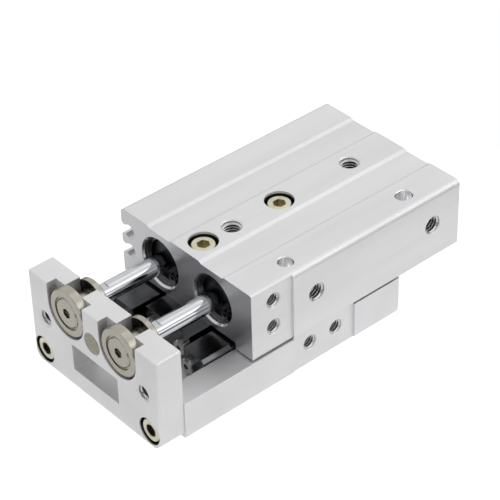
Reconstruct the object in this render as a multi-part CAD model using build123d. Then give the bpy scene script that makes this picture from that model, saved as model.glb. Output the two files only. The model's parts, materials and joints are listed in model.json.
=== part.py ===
from build123d import *
from math import sqrt
import os

# Slide table cylinder: a twin rod air cylinder in an extruded body that drives a table
# on a cross roller guide. Lengths are in millimetres. X runs from the body's rear face to
# the end plate, Y from the sensor side to the port side, Z up from the table's underside.
# The sizes are given with X = 0 at the body's front face; the export moves every piece to
# the middle of the overall length. The table stands at the front end of its travel.

# ---------------------------------------------------------------- clearances
FIT = 0.02            # radial play of a still piece in its seat
RUN = 0.05            # radial play of a sliding piece
END_PLAY = 0.05       # axial play between stacked pieces
STOP_GAP = 0.3        # space left at a soft stop
OVER = 1.0            # how far a cutter runs past the face it opens

# ---------------------------------------------------------------- travel
STROKE = 20.0         # travel of the table
CLOSED_GAP = 2.0      # end plate to body face with the table drawn back

# ---------------------------------------------------------------- extruded body
HALF_WIDTH = 25.0     # middle to the sides of the body and of the table
BODY_HEIGHT = 19.6
BODY_TABLE_GAP = 0.5
BODY_EDGE_R = 1.5
BODY_FOOT_R = 0.3
CHANNEL_CLEARANCE = 0.7   # rail to the side of the channel under the body
CHANNEL_DEPTH = 1.8
LAND_HEIGHT = 0.6     # seat of the guide block, below the channel's roof
TOP_GROOVE_IN = 5.15
TOP_GROOVE_OUT = 14.75
TOP_GROOVE_DEPTH = 0.5
TOP_GROOVE_SLOPE = 1.0   # width of its slanted sides
SIDE_FLAT_DEPTH = 0.6
BODY_FLAT_LENGTH = 13.0

# ---------------------------------------------------------------- bores
BORE_Y = 10.0
BORE_DROP = 0.4       # bore axis below the middle of the wall between channel and top
BORE_R = 6.0
MOUTH_R = 6.7
MOUTH_DEPTH = 5.5
MOUTH_CHAMFER = 0.5
RING_SETBACK = 1.8    # body face to the retaining ring
RING_THICKNESS = 1.0
RING_BITE = 0.45      # depth of the ring's groove in the wall of the mouth
RING_WIDTH = 1.4
RING_LUG_R = 1.25
RING_LUG_INSET = 0.75  # inner edge of the ring to the middle of its eyes
RING_LUG_ANGLE = 17.0
RING_HOLE_R = 0.55
RING_OPENING = -48.0  # direction of the ring's opening as seen from the front
RING_GAP_HALF = 1.0

# ---------------------------------------------------------------- sensor grooves
SENSOR_INSET = 3.0    # side of the body to the middle of the groove
SENSOR_RISE = (-2.7, 3.2)      # from the bore axis
SENSOR_R = 2.0
SENSOR_MOUTH_HALF = 1.3
SENSOR_LIP_R = 1.0
SENSOR_NOSE_R = 0.3

# ---------------------------------------------------------------- holes of the body
M5_R = 2.5
M5_CHAMFER_R = 2.85
M5_TOP_X = (-15.2, -55.2)
M5_TOP_DEPTH = 8.5
M4_CHAMFER_R = 2.3
SIDE_M4_X = -7.1
SIDE_M4_RISE = (-3.6, 4.4)     # from the bore axis
SIDE_M4_DEPTH = 5.5
FRONT_PORT_X = -20.7
REAR_PORT_INSET = 9.3
PORT_DROP = 0.1
PORT_DEPTH = 5.5
PORT_CHAMFER_R = 2.7
PASSAGE_R = 1.25
PASSAGE_END_Y = -5.0
LOCATING_INSET = 5.2
LOCATING_R = 2.0
LOCATING_DEPTH = 4.0
LOCATING_CHAMFER = 0.2
LOCATING_SLOT_LENGTH = 4.8
DRILL_TIP = 0.6       # cone height of a drilled end as a share of its radius

# ---------------------------------------------------------------- rod covers and head caps
COVER_SPIGOT_END = -17.5
NOSE_END = -22.3
NOSE_R = 4.4
ROD_SEAL_X = (-4.0, -6.5)
ROD_SEAL_R = 4.2
O_RING_SECTION_R = 0.6
O_RING_GROOVE_WIDTH = 1.4
COVER_O_RING_X = -12.0
CAP_NOSE_LENGTH = 4.4
CAP_DEPTH = 7.7       # front of its spigot to the body's rear face
CAP_O_RING_INSET = 1.1
CAP_PLUG_R = 1.5
CAP_PLUG_LENGTH = 2.0
HEAD_BUMPER_R = 5.0
HEAD_BUMPER_THICKNESS = 1.4
HEAD_STOP_GAP = 0.5

# ---------------------------------------------------------------- pistons and rods
ROD_R = 2.5
ROD_FLATS = 4.3
ROD_FLATS_LENGTH = 3.4
PISTON_LENGTH = 12.0
PISTON_SEAL_AT = (2.2, 4.6)    # behind the piston's front face
PISTON_SEAL_INNER_R = 4.4
MAGNET_AT = (6.2, 9.2)         # behind the piston's front face
MAGNET_INNER_R = 3.3
MAGNET_OUTER_R = 5.6
ROD_TAIL_R = 2.0
RIVET_R = 3.0
RIVET_THICKNESS = 0.8
ROD_BUMPER_R = 5.0
ROD_BUMPER_THICKNESS = 1.4

# ---------------------------------------------------------------- end plate
PLATE_THICKNESS = 7.5
PLATE_INSET = 0.35    # side of the table to the side of the plate
PLATE_DROP = 3.8      # its top below the body's
PLATE_EDGE_R = 0.65
PLATE_CHAMFER = 0.3
PLATE_FOOT_CHAMFER = 1.8
SLOT_WIDE_R = 7.0
SLOT_WIDE_DEPTH = 2.9
SLOT_NARROW_R = 3.4
WINDOW_SIDE_GAP = 0.5   # to the guide block
WINDOW_CLEARANCE = 0.3  # above and below the guide block
WINDOW_R = 0.2
WINDOW_CHAMFER = 0.3
PLATE_M4_Y = 19.0
PLATE_M4_DROP = 6.7   # below the rods
PLATE_M4_CHAMFER_R = 2.45
PLATE_SCREW_INSET = 4.4
PLATE_SCREW_Z = 4.0
PIN_DROP = 3.2        # below the rods
PIN_R = 3.0
PAD_R = 3.8

# ---------------------------------------------------------------- rod ends
DISC_R = 6.55
DISC_SETBACK = 0.3
DISC_GROOVE_R = 4.6   # shallow ring round the screw's head
DISC_GROOVE_DEPTH = 0.5
DISC_RECESS_DEPTH = 1.8
NECK_R = 3.0
FLANGE_R = 5.8
FLANGE_THICKNESS = 1.7
FLANGE_PLAY = 0.1
ROD_TIP_R = 2.1
END_SCREW_R = 1.25
END_HEAD_R = 4.0
END_HEAD_FLATS = 2.5
END_SCREW_LENGTH = 6.5

# ---------------------------------------------------------------- table
TABLE_REAR_SETBACK = 0.5   # to the body's rear face with the table drawn back
TABLE_TOP_Z = 10.7
TABLE_FLOOR_Z = 4.6
TABLE_WALL = 7.3      # its sides beside the rails
TABLE_CORNER_R = 1.0
TABLE_FOOT_R = 0.6
TABLE_FLAT_AT = (35.0, 55.5)      # behind the table's front face
TABLE_SIDE_M4_AT = (40.9, 49.6)   # behind the table's front face
TABLE_SIDE_M4_Z = 6.2
TABLE_SIDE_M4_DEPTH = 5.0
TABLE_FOOT_M4_AT = (27.0, 62.0)   # behind the table's front face
TABLE_FOOT_M4_INSET = 4.0
TABLE_FOOT_M4_DEPTH = 6.5

# ---------------------------------------------------------------- cross roller guide
GUIDE_LENGTH = 50.0
BLOCK_FRONT = 6.5
BLOCK_HALF = 8.4
BLOCK_FLOOR_GAP = 0.4
RAIL_SETBACK = 12.3
RAIL_INNER = 10.0
RAIL_SIDE_PLAY = 0.2
RAIL_HEADROOM = 0.9
RAIL_CHAMFER = 0.8
ROLLER_R = 1.5
ROLLER_LENGTH = 2.9
ROLLER_PLAY = 0.03
ROLLER_COUNT = 8
ROLLER_PITCH = 4.0
GROOVE_RELIEF = 0.3
CAGE_SETBACK = 9.0    # behind the middle between the fronts of block and rails
CAGE_THICKNESS = 0.8
CAGE_HEIGHT = 5.5
CAGE_PLAY = 0.06
STOP_SCREW_OFFSET = 3.35
STOP_HEAD_R = 2.15
STOP_HEAD_THICKNESS = 1.5
STOP_HEAD_FLATS = 1.5
STOP_SHANK_R = 0.8
STOP_SHANK_LENGTH = 4.0

# ---------------------------------------------------------------- screws
M4_R = 2.0
M4_PASS_R = 2.25
M4_HEAD_R = 3.25
M4_HEAD_HEIGHT = 4.0
M4_SOCKET_FLATS = 3.0
M4_SOCKET_DEPTH = 2.0
BLOCK_SCREW_X = (-6.0, -31.0)
BLOCK_SCREW_SINK = 0.9
BLOCK_COUNTERBORE_R = 3.9
BLOCK_THREAD_DEPTH = 6.0
PLATE_COUNTERBORE_R = 3.75
PLATE_SCREW_SINK = 0.5
PLATE_SCREW_THREAD = 8.0
RAIL_SCREW_INSET = 7.5
RAIL_SCREW_R = 1.5
RAIL_PASS_R = 1.7
RAIL_HEAD_R = 2.75
RAIL_HEAD_HEIGHT = 1.8
RAIL_HEAD_FLATS = 2.0
RAIL_SCREW_SINK = 0.3
RAIL_COUNTERBORE_R = 3.0
RAIL_THREAD_DEPTH = 5.0
HEAD_EDGE = 0.3
SCREW_TIP = 0.3

# ---------------------------------------------------------------- heights worked out
BODY_BASE_Z = TABLE_TOP_Z + BODY_TABLE_GAP
BODY_TOP_Z = BODY_BASE_Z + BODY_HEIGHT
CHANNEL_Z = BODY_BASE_Z + CHANNEL_DEPTH
LAND_Z = CHANNEL_Z - LAND_HEIGHT
BORE_Z = (CHANNEL_Z + BODY_TOP_Z) / 2 - BORE_DROP
SENSOR_Z = [BORE_Z + rise for rise in SENSOR_RISE]
SIDE_M4_Z = [BORE_Z + rise for rise in SIDE_M4_RISE]
PORT_Z = BORE_Z - PORT_DROP
PLATE_HEIGHT = BODY_TOP_Z - PLATE_DROP
PLATE_M4_Z = BORE_Z - PLATE_M4_DROP
PIN_Z = BORE_Z - PIN_DROP
BLOCK_BASE_Z = TABLE_FLOOR_Z + BLOCK_FLOOR_GAP
WINDOW_Z = (BLOCK_BASE_Z - WINDOW_CLEARANCE, LAND_Z + WINDOW_CLEARANCE)
RAIL_TOP_Z = CHANNEL_Z - RAIL_HEADROOM
ROLLER_Z = (TABLE_FLOOR_Z + RAIL_TOP_Z) / 2

# ---------------------------------------------------------------- widths worked out
TABLE_CHANNEL_HALF = HALF_WIDTH - TABLE_WALL
RAIL_OUTER = TABLE_CHANNEL_HALF - RAIL_SIDE_PLAY
RAIL_MID = (RAIL_INNER + RAIL_OUTER) / 2
CHANNEL_HALF = RAIL_OUTER + CHANNEL_CLEARANCE
SENSOR_Y = SENSOR_INSET - HALF_WIDTH
LOCATING_Y = HALF_WIDTH - LOCATING_INSET
PLATE_HALF = HALF_WIDTH - PLATE_INSET
PLATE_SCREW_Y = HALF_WIDTH - PLATE_SCREW_INSET
TABLE_FOOT_M4_Y = HALF_WIDTH - TABLE_FOOT_M4_INSET
WINDOW_HALF = BLOCK_HALF + WINDOW_SIDE_GAP
GROOVE_Y = (BLOCK_HALF + RAIL_INNER) / 2
GROOVE_REACH = (ROLLER_R + ROLLER_PLAY) * sqrt(2)
GROOVE_OPEN = GROOVE_REACH - (RAIL_INNER - BLOCK_HALF) / 2

# ---------------------------------------------------------------- stations worked out
PISTON_FRONT = NOSE_END - STOP_GAP - ROD_BUMPER_THICKNESS
PISTON_REAR = PISTON_FRONT - PISTON_LENGTH
PISTON_SEAL_X = [PISTON_FRONT - at for at in PISTON_SEAL_AT]
MAGNET_X = [PISTON_FRONT - at for at in MAGNET_AT]
CAP_NOSE_FRONT = PISTON_REAR - STROKE - HEAD_STOP_GAP - HEAD_BUMPER_THICKNESS
CAP_SPIGOT_FRONT = CAP_NOSE_FRONT - CAP_NOSE_LENGTH
CAP_O_RING_X = CAP_SPIGOT_FRONT - CAP_O_RING_INSET
BODY_LENGTH = CAP_DEPTH - CAP_SPIGOT_FRONT
PORT_X = (FRONT_PORT_X, REAR_PORT_INSET - BODY_LENGTH)
RING_OUTER_R = MOUTH_R + RING_BITE
RING_INNER_R = RING_OUTER_R - RING_WIDTH
RING_LUG_AT = RING_INNER_R - RING_LUG_INSET
RING_GROOVE = (RING_SETBACK, RING_SETBACK + RING_THICKNESS + END_PLAY)
TABLE_FRONT = STROKE + CLOSED_GAP
TABLE_LENGTH = BODY_LENGTH + CLOSED_GAP - TABLE_REAR_SETBACK
TABLE_FLAT_X = [TABLE_FRONT - at for at in TABLE_FLAT_AT]
TABLE_SIDE_M4_X = [TABLE_FRONT - at for at in TABLE_SIDE_M4_AT]
TABLE_FOOT_M4_X = [TABLE_FRONT - at for at in TABLE_FOOT_M4_AT]
PLATE_FRONT = TABLE_FRONT + PLATE_THICKNESS
SHIFT_X = (BODY_LENGTH - PLATE_FRONT) / 2
DISC_FRONT = PLATE_FRONT - DISC_SETBACK
DISC_BACK = PLATE_FRONT - SLOT_WIDE_DEPTH + END_PLAY
FLANGE_FRONT = TABLE_FRONT - FLANGE_PLAY
FLANGE_BACK = FLANGE_FRONT - FLANGE_THICKNESS
RAIL_FRONT = TABLE_FRONT - RAIL_SETBACK
RAIL_SCREW_X = (RAIL_FRONT - RAIL_SCREW_INSET, RAIL_FRONT - GUIDE_LENGTH + RAIL_SCREW_INSET)
CAGE_FRONT = (BLOCK_FRONT + RAIL_FRONT) / 2 - CAGE_SETBACK
CAGE_LENGTH = ROLLER_COUNT * ROLLER_PITCH
SIDES = {"port_side": 1, "sensor_side": -1}

os.makedirs("parts", exist_ok=True)


# ---------------------------------------------------------------- helpers
def flat(points):
    """Face in the sketch plane through the given corners; a repeated corner counts once."""
    corners = [p for p, before in zip(points, points[-1:] + points[:-1]) if p != before]
    return make_face(Polyline(*corners, close=True))


def prism_x(sketch, x0, x1):
    """Solid between two X stations from a sketch drawn in (Y, Z)."""
    low = min(x0, x1)
    return extrude(Plane.YZ.offset(low) * sketch, amount=abs(x1 - x0))


def turned_x(points, y=0.0, z=0.0):
    """Turned piece about a line along X, from its outline in (x, radius)."""
    return Pos(0, y, z) * revolve(Plane.XZ * flat(points), Axis.X)


def turned_z(points):
    """Turned piece about the Z axis, from its outline in (radius, z)."""
    return revolve(Plane.XZ * flat(points), Axis.Z)


def tube_x(inner, outer, x0, x1):
    """Ring about the X axis."""
    return turned_x([(x0, inner), (x1, inner), (x1, outer), (x0, outer)])


def group(pieces):
    """Several separate solids kept together under one name."""
    return Compound([solid for piece in pieces for solid in piece.solids()])


def hole(r, depth, mouth_r):
    """Drilled hole with a chamfered mouth at the origin, running down Z."""
    return turned_z([
        (0, OVER),
        (mouth_r, OVER),
        (mouth_r, 0),
        (r, r - mouth_r),
        (r, -depth),
        (0, -depth - DRILL_TIP * r),
    ])


def socket_screw(head_r, head_h, shank_r, shank_l, flats, socket_depth):
    """Socket head screw down Z with the top of its head at the origin."""
    end = -head_h - shank_l
    screw = turned_z([
        (0, 0),
        (head_r - HEAD_EDGE, 0),
        (head_r, -HEAD_EDGE),
        (head_r, -head_h),
        (shank_r, -head_h),
        (shank_r, end + SCREW_TIP),
        (shank_r - SCREW_TIP, end),
        (0, end),
    ])
    socket = RegularPolygon(flats / 2, 6, major_radius=False)
    return screw - extrude(socket, amount=-socket_depth)


def facing_front(piece):
    """Turns a piece that points up Z to point along +X."""
    return Rot(0, 90, 0) * piece


def facing_back(piece):
    """Turns a piece that points up Z to point along -X."""
    return Rot(0, -90, 0) * piece


def facing_port(piece):
    """Turns a piece that points up Z to point along +Y."""
    return Rot(-90, 0, 0) * piece


def facing_down(piece):
    """Turns a piece that points up Z to point along -Z."""
    return Rot(180, 0, 0) * piece


def corner_points(sketch, y, z):
    """Sketch corners at one place in (Y, Z)."""
    return [p for p in sketch.vertices() if abs(p.X - y) < 1e-4 and abs(p.Y - z) < 1e-4]


# ---------------------------------------------------------------- body
def body_section():
    half = [
        (0, LAND_Z),
        (BLOCK_HALF, LAND_Z),
        (BLOCK_HALF, CHANNEL_Z),
        (CHANNEL_HALF, CHANNEL_Z),
        (CHANNEL_HALF, BODY_BASE_Z),
        (HALF_WIDTH, BODY_BASE_Z),
        (HALF_WIDTH, BODY_TOP_Z),
        (TOP_GROOVE_OUT, BODY_TOP_Z),
        (TOP_GROOVE_OUT - TOP_GROOVE_SLOPE, BODY_TOP_Z - TOP_GROOVE_DEPTH),
        (TOP_GROOVE_IN + TOP_GROOVE_SLOPE, BODY_TOP_Z - TOP_GROOVE_DEPTH),
        (TOP_GROOVE_IN, BODY_TOP_Z),
        (0, BODY_TOP_Z),
    ]
    section = Sketch() + flat(half + [(-y, z) for y, z in reversed(half[1:-1])])
    for side in (-HALF_WIDTH, HALF_WIDTH):
        section = fillet(corner_points(section, side, BODY_TOP_Z), BODY_EDGE_R)
        section = fillet(corner_points(section, side, BODY_BASE_Z), BODY_FOOT_R)
    mouth_length = HALF_WIDTH + SENSOR_Y + OVER
    for z in SENSOR_Z:
        section -= Pos(SENSOR_Y, z) * Circle(SENSOR_R)
        mouth = Rectangle(mouth_length, 2 * SENSOR_MOUTH_HALF)
        section -= Pos(SENSOR_Y - mouth_length / 2, z) * mouth
    throat = SENSOR_Y - sqrt(SENSOR_R**2 - SENSOR_MOUTH_HALF**2)
    for z in SENSOR_Z:
        for edge in (z - SENSOR_MOUTH_HALF, z + SENSOR_MOUTH_HALF):
            section = fillet(corner_points(section, -HALF_WIDTH, edge), SENSOR_LIP_R)
            section = fillet(corner_points(section, throat, edge), SENSOR_NOSE_R)
    return section


def bore_cutter(y):
    near, far = RING_GROOVE
    rear = -BODY_LENGTH
    return turned_x([
        (OVER, 0),
        (OVER, MOUTH_R + MOUTH_CHAMFER),
        (0, MOUTH_R + MOUTH_CHAMFER),
        (-MOUTH_CHAMFER, MOUTH_R),
        (-near, MOUTH_R),
        (-near, RING_OUTER_R + RUN),
        (-far, RING_OUTER_R + RUN),
        (-far, MOUTH_R),
        (-MOUTH_DEPTH, MOUTH_R),
        (-MOUTH_DEPTH, BORE_R),
        (rear + MOUTH_DEPTH, BORE_R),
        (rear + MOUTH_DEPTH, MOUTH_R),
        (rear + far, MOUTH_R),
        (rear + far, RING_OUTER_R + RUN),
        (rear + near, RING_OUTER_R + RUN),
        (rear + near, MOUTH_R),
        (rear + MOUTH_CHAMFER, MOUTH_R),
        (rear, MOUTH_R + MOUTH_CHAMFER),
        (rear - OVER, MOUTH_R + MOUTH_CHAMFER),
        (rear - OVER, 0),
    ], y, BORE_Z)


def locating_cutter(length):
    """Round or slotted recess for a dowel, mouth at the origin."""
    shape = Circle(LOCATING_R)
    lip = Circle(LOCATING_R + LOCATING_CHAMFER)
    if length > 2 * LOCATING_R:
        shape = SlotOverall(length, 2 * LOCATING_R)
        lip = SlotOverall(length + 2 * LOCATING_CHAMFER, 2 * (LOCATING_R + LOCATING_CHAMFER))
    recess = extrude(shape, amount=-LOCATING_DEPTH)
    chamfer_cut = loft([lip, Pos(0, 0, -LOCATING_CHAMFER) * shape])
    return recess + chamfer_cut


def make_body():
    body = prism_x(body_section(), -BODY_LENGTH, 0)
    flat_width = SIDE_FLAT_DEPTH + OVER
    flat_cut = Box(BODY_FLAT_LENGTH + OVER, flat_width, BODY_TOP_Z + OVER)
    body -= Pos(
        (OVER - BODY_FLAT_LENGTH) / 2,
        HALF_WIDTH - SIDE_FLAT_DEPTH + flat_width / 2,
        (BODY_TOP_Z + OVER) / 2,
    ) * flat_cut
    for side in SIDES.values():
        body -= bore_cutter(side * BORE_Y)
    for x in M5_TOP_X:
        body -= Pos(x, 0, BODY_TOP_Z) * hole(M5_R, M5_TOP_DEPTH, M5_CHAMFER_R)
    body -= Pos(M5_TOP_X[0], LOCATING_Y, BODY_TOP_Z) * locating_cutter(2 * LOCATING_R)
    body -= Pos(M5_TOP_X[1], LOCATING_Y, BODY_TOP_Z) * locating_cutter(LOCATING_SLOT_LENGTH)
    for z in SIDE_M4_Z:
        tapped = facing_port(hole(M4_R, SIDE_M4_DEPTH, M4_CHAMFER_R))
        body -= Pos(SIDE_M4_X, HALF_WIDTH - SIDE_FLAT_DEPTH, z) * tapped
    passage_length = HALF_WIDTH - PORT_DEPTH - PASSAGE_END_Y
    for x in PORT_X:
        body -= Pos(x, HALF_WIDTH, PORT_Z) * facing_port(hole(M5_R, PORT_DEPTH, PORT_CHAMFER_R))
        passage = facing_port(Cylinder(PASSAGE_R, passage_length))
        body -= Pos(x, PASSAGE_END_Y + passage_length / 2, PORT_Z) * passage
    shoulder = BLOCK_SCREW_SINK + M4_HEAD_HEIGHT
    for x in BLOCK_SCREW_X:
        body -= Pos(x, 0, BODY_TOP_Z) * turned_z([
            (0, OVER),
            (BLOCK_COUNTERBORE_R, OVER),
            (BLOCK_COUNTERBORE_R, -shoulder),
            (M4_PASS_R, -shoulder),
            (M4_PASS_R, -BODY_TOP_Z),
            (0, -BODY_TOP_Z),
        ])
    return body


# ---------------------------------------------------------------- pieces in the bores
def retaining_ring(x0):
    """Open internal ring with two eyes, its front face at the given station."""
    ring = Circle(RING_OUTER_R) - Circle(RING_INNER_R)
    gap = Pos(RING_OUTER_R, 0) * Rectangle(2 * RING_OUTER_R, 2 * RING_GAP_HALF)
    ring -= gap
    for turn in (-RING_LUG_ANGLE, RING_LUG_ANGLE):
        eye = Pos(RING_LUG_AT, 0) * Circle(RING_LUG_R)
        stem = Pos(RING_LUG_AT + RING_LUG_R / 2, 0) * Rectangle(RING_LUG_R, RING_LUG_R)
        ring += Rot(0, 0, turn) * (eye + stem)
    for turn in (-RING_LUG_ANGLE, RING_LUG_ANGLE):
        ring -= Rot(0, 0, turn) * (Pos(RING_LUG_AT, 0) * Circle(RING_HOLE_R))
    ring = Rot(0, 0, RING_OPENING) * ring
    return prism_x(ring, x0 - RING_THICKNESS, x0)


def rod_cover():
    front = -RING_GROOVE[1] - FIT
    spigot_r = BORE_R - FIT
    floor = BORE_R - 2 * O_RING_SECTION_R - 2 * FIT
    half = O_RING_GROOVE_WIDTH / 2
    return turned_x([
        (front, ROD_R + RUN),
        (front, MOUTH_R - FIT),
        (-MOUTH_DEPTH + FIT, MOUTH_R - FIT),
        (-MOUTH_DEPTH + FIT, spigot_r),
        (COVER_O_RING_X + half, spigot_r),
        (COVER_O_RING_X + half, floor),
        (COVER_O_RING_X - half, floor),
        (COVER_O_RING_X - half, spigot_r),
        (COVER_SPIGOT_END, spigot_r),
        (COVER_SPIGOT_END, NOSE_R),
        (NOSE_END, NOSE_R),
        (NOSE_END, ROD_R + RUN),
        (ROD_SEAL_X[1], ROD_R + RUN),
        (ROD_SEAL_X[1], ROD_SEAL_R),
        (ROD_SEAL_X[0], ROD_SEAL_R),
        (ROD_SEAL_X[0], ROD_R + RUN),
    ])


def rod_seal():
    """Lip seal: a ring with a groove between its two lips on the pressure side."""
    front = ROD_SEAL_X[0] - END_PLAY
    back = ROD_SEAL_X[1] + END_PLAY
    inner = ROD_R + RUN
    outer = ROD_SEAL_R - FIT
    third = (outer - inner) / 3
    return turned_x([
        (front, inner),
        (front, outer),
        (back, outer),
        (back, outer - third),
        (back + third, (inner + outer) / 2),
        (back, inner + third),
        (back, inner),
    ])


def o_ring(x):
    """Round section ring that fills its groove up to the bore."""
    middle = BORE_R - FIT - O_RING_SECTION_R
    section = Plane.XZ * (Pos(x, middle) * Circle(O_RING_SECTION_R))
    return revolve(section, Axis.X)


def head_cap():
    back = -BODY_LENGTH + RING_GROOVE[1] + FIT
    shoulder = -BODY_LENGTH + MOUTH_DEPTH - FIT
    spigot_r = BORE_R - FIT
    floor = BORE_R - 2 * O_RING_SECTION_R - 2 * FIT
    half = O_RING_GROOVE_WIDTH / 2
    return turned_x([
        (back, 0),
        (back, MOUTH_R - FIT),
        (shoulder, MOUTH_R - FIT),
        (shoulder, spigot_r),
        (CAP_O_RING_X - half, spigot_r),
        (CAP_O_RING_X - half, floor),
        (CAP_O_RING_X + half, floor),
        (CAP_O_RING_X + half, spigot_r),
        (CAP_SPIGOT_FRONT, spigot_r),
        (CAP_SPIGOT_FRONT, NOSE_R),
        (CAP_NOSE_FRONT, NOSE_R),
        (CAP_NOSE_FRONT, CAP_PLUG_R + FIT),
        (CAP_NOSE_FRONT - CAP_PLUG_LENGTH - END_PLAY, CAP_PLUG_R + FIT),
        (CAP_NOSE_FRONT - CAP_PLUG_LENGTH - END_PLAY, 0),
    ])


def head_bumper():
    back = CAP_NOSE_FRONT + FIT
    return turned_x([
        (back + HEAD_BUMPER_THICKNESS, 0),
        (back + HEAD_BUMPER_THICKNESS, HEAD_BUMPER_R - HEAD_EDGE),
        (back + HEAD_BUMPER_THICKNESS - HEAD_EDGE, HEAD_BUMPER_R),
        (back, HEAD_BUMPER_R),
        (back, CAP_PLUG_R),
        (back - CAP_PLUG_LENGTH, CAP_PLUG_R),
        (back - CAP_PLUG_LENGTH, 0),
    ])


def piston():
    r = BORE_R - RUN
    seat = RIVET_THICKNESS + FIT
    return turned_x([
        (PISTON_FRONT, ROD_TAIL_R + FIT),
        (PISTON_FRONT, r - HEAD_EDGE),
        (PISTON_FRONT - HEAD_EDGE, r),
        (PISTON_SEAL_X[0], r),
        (PISTON_SEAL_X[0], PISTON_SEAL_INNER_R),
        (PISTON_SEAL_X[1], PISTON_SEAL_INNER_R),
        (PISTON_SEAL_X[1], r),
        (MAGNET_X[0], r),
        (MAGNET_X[0], MAGNET_INNER_R),
        (MAGNET_X[1], MAGNET_INNER_R),
        (MAGNET_X[1], r),
        (PISTON_REAR + HEAD_EDGE, r),
        (PISTON_REAR, r - HEAD_EDGE),
        (PISTON_REAR, RIVET_R + FIT),
        (PISTON_REAR + seat, RIVET_R + FIT),
        (PISTON_REAR + seat, ROD_TAIL_R + FIT),
    ])


def piston_rod():
    """Ground rod with a riveted tail in the piston and a tapped tip for the end disc.
    Two flats behind the end flange take a wrench."""
    tip = DISC_BACK - FIT
    seat = PISTON_REAR + RIVET_THICKNESS
    shoulder = FLANGE_BACK - FIT
    rod = turned_x([
        (PISTON_REAR, 0),
        (PISTON_REAR, RIVET_R),
        (seat, RIVET_R),
        (seat, ROD_TAIL_R),
        (PISTON_FRONT + FIT, ROD_TAIL_R),
        (PISTON_FRONT + FIT, ROD_R),
        (shoulder, ROD_R),
        (shoulder, ROD_TIP_R),
        (tip, ROD_TIP_R),
        (tip, END_SCREW_R + FIT),
        (tip - END_SCREW_LENGTH, END_SCREW_R + FIT),
        (tip - END_SCREW_LENGTH - DRILL_TIP, 0),
    ])
    for way in (1, -1):
        flat_cut = Box(ROD_FLATS_LENGTH, 2 * ROD_R, ROD_R)
        rod -= Pos(shoulder - ROD_FLATS_LENGTH / 2, 0, way * (ROD_FLATS + ROD_R) / 2) * flat_cut
    return rod


def rod_end_flange():
    """Rear flange with the neck that passes through the narrow slot of the end plate."""
    return turned_x([
        (FLANGE_BACK, ROD_TIP_R + FIT),
        (FLANGE_BACK, FLANGE_R - HEAD_EDGE),
        (FLANGE_BACK + HEAD_EDGE, FLANGE_R),
        (FLANGE_FRONT, FLANGE_R),
        (FLANGE_FRONT, NECK_R),
        (DISC_BACK - FIT, NECK_R),
        (DISC_BACK - FIT, ROD_TIP_R + FIT),
    ])


def rod_end_disc():
    recess = DISC_FRONT - DISC_RECESS_DEPTH
    return turned_x([
        (DISC_BACK, END_SCREW_R + RUN),
        (DISC_BACK, DISC_R),
        (DISC_FRONT - HEAD_EDGE, DISC_R),
        (DISC_FRONT, DISC_R - HEAD_EDGE),
        (DISC_FRONT, DISC_GROOVE_R),
        (DISC_FRONT - DISC_GROOVE_DEPTH, DISC_GROOVE_R),
        (DISC_FRONT - DISC_GROOVE_DEPTH, END_HEAD_R + RUN),
        (recess, END_HEAD_R + RUN),
        (recess, END_SCREW_R + RUN),
    ])


def rod_end_screw():
    head = DISC_RECESS_DEPTH - FIT
    shank = END_SCREW_LENGTH + DISC_FRONT - DISC_RECESS_DEPTH - DISC_BACK
    screw = socket_screw(END_HEAD_R, head, END_SCREW_R, shank, END_HEAD_FLATS, head / 2 + FIT)
    return Pos(DISC_FRONT, 0, 0) * facing_front(screw)


# ---------------------------------------------------------------- end plate and table
def window_outline(more):
    """Outline of the end plate's window, widened all round by the given amount."""
    low, high = WINDOW_Z
    outline = RectangleRounded(2 * (WINDOW_HALF + more), high - low + 2 * more, WINDOW_R)
    return Pos(0, (low + high) / 2) * outline


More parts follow.
